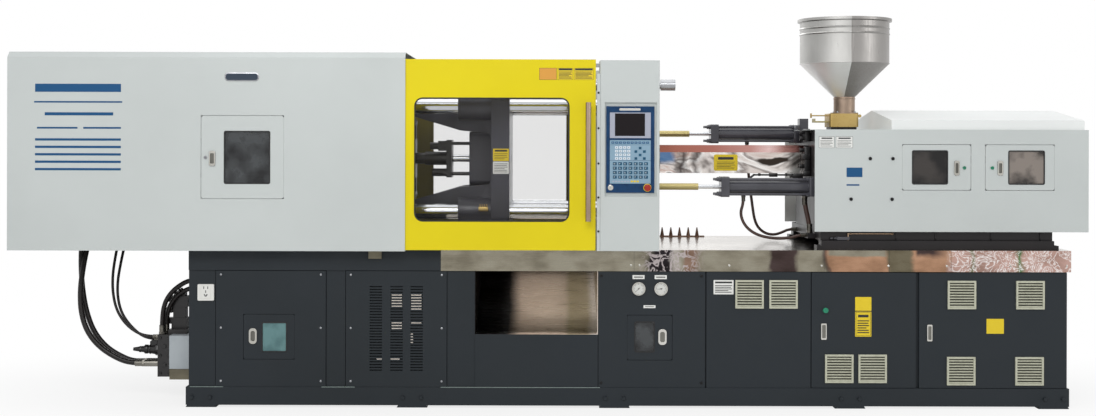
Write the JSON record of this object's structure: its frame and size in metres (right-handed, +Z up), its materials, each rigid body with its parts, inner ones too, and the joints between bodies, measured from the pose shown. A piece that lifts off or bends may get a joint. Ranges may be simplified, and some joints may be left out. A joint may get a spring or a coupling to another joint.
{
  "type": "injection moulding machine",
  "caption": "Horizontal toggle-clamp injection moulding machine with sliding guards, console, hopper, travelling injection unit and parts chute.",
  "frame": {"origin": "on the floor, under the middle of the machine's outline", "axes": "+X from the clamp end to the injection end, -Y towards the operator, +Z up"},
  "size_m": [5.67, 1.382, 2.103],
  "materials": {
    "cover_paint": "satin",
    "guard_paint": "gloss",
    "base_paint": "satin",
    "stainless": "satin",
    "bright_steel": "polished",
    "cast_paint": "satin",
    "zinc_yellow": "satin",
    "window_pane": "clear",
    "grip_plastic": "matt",
    "console_blue": "satin",
    "key_plastic": "satin",
    "stop_red": "gloss",
    "gauge_trim": "satin",
    "hose_rubber": "matt"
  },
  "bodies": {
    "machine": {"base_frame": "base_paint", "base_panels": "base_paint", "vent_panel": "base_paint", "parts_chute": "stainless", "deck": "stainless", "pressure_gauges": "gauge_trim", "switchgear": "gauge_trim", "clamp_cover": "cover_paint", "guard_rails": "cover_paint", "control_columns": "cover_paint", "console": "console_blue", "console_keys": "key_plastic", "fixed_platen": "cast_paint", "rear_platen": "cast_paint", "tie_bars": "bright_steel", "clamp_cylinder": "cast_paint", "carriage_rails": "cast_paint", "traverse_rods": "zinc_yellow", "valve_group": "cast_paint", "water_manifold": "cast_paint", "clamp_hoses": "hose_rubber", "pilot_hoses": "hose_rubber", "pump_hoses": "hose_rubber"},
    "front_guard": {"front_guard": "guard_paint", "front_window": "window_pane", "front_grip": "grip_plastic"},
    "rear_guard": {"rear_guard": "guard_paint", "rear_window": "window_pane"},
    "upper_rear_link": {"upper_rear_link": "cast_paint"},
    "upper_front_link": {"upper_front_link": "cast_paint"},
    "upper_short_link": {"upper_short_link": "cast_paint"},
    "lower_rear_link": {"lower_rear_link": "cast_paint"},
    "lower_front_link": {"lower_front_link": "cast_paint"},
    "lower_short_link": {"lower_short_link": "cast_paint"},
    "crosshead": {"crosshead": "cast_paint"},
    "moving_platen": {"moving_platen": "cast_paint", "safety_bar": "bright_steel", "ejector_unit": "cast_paint"},
    "ejector_rod": {"ejector_rod": "bright_steel"},
    "carriage": {"carriage_bed": "cast_paint", "injection_shroud": "cover_paint", "barrel": "cast_paint", "barrel_cover": "stainless", "traverse_cylinders": "cast_paint", "hopper": "stainless", "hopper_seat": "zinc_yellow", "traverse_hoses": "hose_rubber"},
    "hopper_lid": {"hopper_lid": "stainless"},
    "hopper_gate": {"hopper_gate": "stainless"},
    "injection_drive": {"injection_drive": "cast_paint"},
    "screw": {"screw": "bright_steel"},
    "clamp_hatch": {"clamp_hatch": "cover_paint"},
    "shroud_door_left": {"shroud_door_left": "cover_paint"},
    "shroud_door_right": {"shroud_door_right": "cover_paint"},
    "hatch_left": {"hatch_left": "base_paint"},
    "hatch_right": {"hatch_right": "base_paint"},
    "cabinet_door_b": {"cabinet_door_b": "base_paint"},
    "cabinet_door_c": {"cabinet_door_c": "base_paint"},
    "stop_button": {"stop_button": "stop_red"},
    "key_switch": {"key_switch": "bright_steel"}
  },
  "joints": [
    {"name": "front_guard_slide", "type": "slide", "parent": "machine", "child": "front_guard", "axis": [1, 0, 0], "range_m": [-0.78, 0]},
    {"name": "rear_guard_slide", "type": "slide", "parent": "machine", "child": "rear_guard", "axis": [1, 0, 0], "range_m": [-0.78, 0]},
    {"name": "toggle_hinge", "type": "hinge", "parent": "machine", "child": "upper_rear_link", "pos_m": [-1.17617, 0, 1.5], "axis": [0, -1, 0], "range_deg": [-16.5, 43.5]},
    {"name": "upper_knee_hinge", "type": "hinge", "parent": "upper_rear_link", "child": "upper_front_link", "pos_m": [-0.84059, 0, 1.5994], "axis": [0, -1, 0], "range_deg": [-87, 33]},
    {"name": "moving_platen_hinge", "type": "hinge", "parent": "upper_front_link", "child": "moving_platen", "pos_m": [-0.505, 0, 1.5], "axis": [0, -1, 0], "range_deg": [-16.5, 43.5]},
    {"name": "upper_crank_hinge", "type": "hinge", "parent": "upper_rear_link", "child": "upper_short_link", "pos_m": [-0.99074, 0, 1.62744], "axis": [0, -1, 0], "range_deg": [-87, 33]},
    {"name": "crosshead_hinge", "type": "hinge", "parent": "upper_short_link", "child": "crosshead", "pos_m": [-0.80532, 0, 1.5], "axis": [0, -1, 0], "range_deg": [-16.5, 43.5]},
    {"name": "lower_rear_hinge", "type": "hinge", "parent": "machine", "child": "lower_rear_link", "pos_m": [-1.17617, 0, 1.1], "axis": [0, -1, 0], "range_deg": [-43.5, 16.5]},
    {"name": "lower_knee_hinge", "type": "hinge", "parent": "lower_rear_link", "child": "lower_front_link", "pos_m": [-0.84059, 0, 1.00059], "axis": [0, -1, 0], "range_deg": [-33, 87]},
    {"name": "lower_crank_hinge", "type": "hinge", "parent": "lower_rear_link", "child": "lower_short_link", "pos_m": [-0.99074, 0, 0.97256], "axis": [0, -1, 0], "range_deg": [-33, 87]},
    {"name": "ejector_slide", "type": "slide", "parent": "moving_platen", "child": "ejector_rod", "axis": [1, 0, 0], "range_m": [0, 0.085]},
    {"name": "carriage_slide", "type": "slide", "parent": "machine", "child": "carriage", "axis": [1, 0, 0], "range_m": [-0.1, 0.18]},
    {"name": "injection_slide", "type": "slide", "parent": "carriage", "child": "injection_drive", "axis": [1, 0, 0], "range_m": [0, 0.2]},
    {"name": "screw_spin", "type": "hinge", "parent": "injection_drive", "child": "screw", "pos_m": [1.7, 0, 1.3], "axis": [1, 0, 0], "continuous": true},
    {"name": "hopper_lid_lift", "type": "slide", "parent": "carriage", "child": "hopper_lid", "axis": [0, 0, 1], "range_m": [0, 0.3]},
    {"name": "hopper_gate_slide", "type": "slide", "parent": "carriage", "child": "hopper_gate", "axis": [1, 0, 0], "range_m": [0, 0.072]},
    {"name": "clamp_hatch_hinge", "type": "hinge", "parent": "machine", "child": "clamp_hatch", "pos_m": [-1.4005, -0.64, 1.3115], "axis": [0, 0, 1], "range_deg": [0, 110]},
    {"name": "shroud_door_left_hinge", "type": "hinge", "parent": "carriage", "child": "shroud_door_left", "pos_m": [1.8475, -0.48, 1.264], "axis": [0, 0, -1], "range_deg": [0, 110]},
    {"name": "shroud_door_right_hinge", "type": "hinge", "parent": "carriage", "child": "shroud_door_right", "pos_m": [2.6535, -0.48, 1.264], "axis": [0, 0, 1], "range_deg": [0, 110]},
    {"name": "hatch_left_hinge", "type": "hinge", "parent": "machine", "child": "hatch_left", "pos_m": [-1.3575, -0.556, 0.369], "axis": [0, 0, 1], "range_deg": [0, 110]},
    {"name": "hatch_right_hinge", "type": "hinge", "parent": "machine", "child": "hatch_right", "pos_m": [0.3885, -0.556, 0.369], "axis": [0, 0, -1], "range_deg": [0, 110]},
    {"name": "cabinet_door_b_hinge", "type": "hinge", "parent": "machine", "child": "cabinet_door_b", "pos_m": [1.9015, -0.556, 0.41], "axis": [0, 0, 1], "range_deg": [0, 110]},
    {"name": "cabinet_door_c_hinge", "type": "hinge", "parent": "machine", "child": "cabinet_door_c", "pos_m": [2.6935, -0.556, 0.41], "axis": [0, 0, 1], "range_deg": [0, 110]},
    {"name": "stop_button_press", "type": "slide", "parent": "machine", "child": "stop_button", "axis": [0, 1, 0], "range_m": [0, 0.006], "stiffness_N_per_m": 900, "springref_m": -0.002},
    {"name": "key_switch_turn", "type": "hinge", "parent": "machine", "child": "key_switch", "pos_m": [0.295, -0.634, 1.158], "axis": [0, 1, 0], "range_deg": [0, 90]}
  ],
  "couplings": [
    {"joint": "upper_knee_hinge", "follows": "toggle_hinge", "ratio": -2},
    {"joint": "moving_platen_hinge", "follows": "toggle_hinge", "ratio": 1},
    {"joint": "upper_crank_hinge", "follows": "toggle_hinge", "ratio": -2},
    {"joint": "crosshead_hinge", "follows": "toggle_hinge", "ratio": 1},
    {"joint": "lower_rear_hinge", "follows": "toggle_hinge", "ratio": -1},
    {"joint": "lower_knee_hinge", "follows": "toggle_hinge", "ratio": 2},
    {"joint": "lower_crank_hinge", "follows": "toggle_hinge", "ratio": 2}
  ]
}
